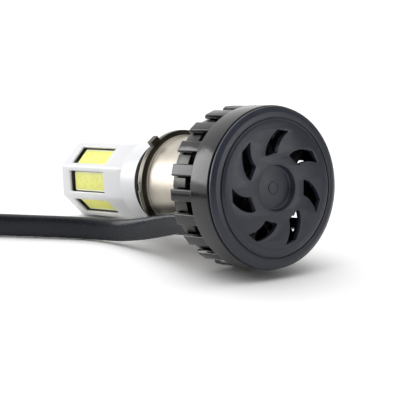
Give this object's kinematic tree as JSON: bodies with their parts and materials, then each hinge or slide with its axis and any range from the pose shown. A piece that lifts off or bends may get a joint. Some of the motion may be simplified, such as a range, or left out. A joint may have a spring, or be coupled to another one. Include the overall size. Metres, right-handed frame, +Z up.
{
  "type": "LED headlight bulb",
  "caption": "Headlight bulb with light strips behind windows in an eight-sided white head, a plated collar, a fan in a toothed black housing and a flat cord with a three-blade plug.",
  "frame": {"origin": "on the surface that the bulb lies on, under the middle of the bulb's box, measured without the cord and plug", "axes": "+Y is level and runs from the fan end towards the head, +Z is up, and the cord leaves towards -X. The bulb's own axis dips 9.37 degrees below +Y towards the head, because it lies on its teeth and on the tip of its nose"},
  "size_m": [0.1273, 0.092, 0.047],
  "materials": {
    "cover_black": "satin moulded",
    "housing_black": "glossy",
    "fan_black": "satin moulded",
    "magnet_grey": "sintered ferrite",
    "steel": "zinc plated",
    "bronze": "sintered",
    "core_steel": "laminated",
    "copper": "enamelled copper",
    "green_board": "solder mask",
    "fan_wire": "smooth insulation",
    "sink_metal": "cast",
    "black_rubber": "satin",
    "supply_wire": "smooth insulation",
    "collar_metal": "satin nickel plated",
    "ferrite": "ferrite",
    "capacitor_sleeve": "shrink sleeve",
    "chip_black": "moulded",
    "lamp_wire": "smooth insulation",
    "white_paint": "satin powder coat",
    "core_aluminium": "machined",
    "lamp_board": "black solder mask",
    "phosphor": "silicone phosphor",
    "cord_black": "smooth flexible sheath",
    "plug_rubber": "satin",
    "plug_black": "moulded",
    "contact_metal": "tinned"
  },
  "bodies": {
    "bulb": {"rear_cover": "cover_black", "fan_housing": "housing_black", "fan_frame": "fan_black", "fan_screws": "steel", "collar_screws": "steel", "nose_screw": "steel", "fan_bearing": "bronze", "stator_core": "core_steel", "stator_coils": "copper", "fan_board": "green_board", "driver_board": "green_board", "fan_wires": "fan_wire", "heat_sink": "sink_metal", "cable_grommet": "black_rubber", "o_ring": "black_rubber", "supply_wires": "supply_wire", "base_collar": "collar_metal", "driver_inductor": "ferrite", "driver_capacitors": "capacitor_sleeve", "driver_chips": "chip_black", "led_wires": "lamp_wire", "head_shell": "white_paint", "led_core": "core_aluminium", "low_beam_boards": "lamp_board", "high_beam_boards": "lamp_board", "low_beam_leds": "phosphor", "high_beam_leds": "phosphor", "supply_cord": "cord_black", "plug_boot": "plug_rubber", "plug_housing": "plug_black", "plug_blades": "contact_metal"},
    "rotor": {"impeller": "fan_black", "magnet_ring": "magnet_grey", "fan_shaft": "steel", "shaft_clip": "steel"}
  },
  "joints": [
    {"name": "fan_spin", "type": "hinge", "parent": "bulb", "child": "rotor", "pos_m": [0, -0.03551, 0.02396], "axis": [0, 0.9867, -0.1628], "continuous": true}
  ]
}
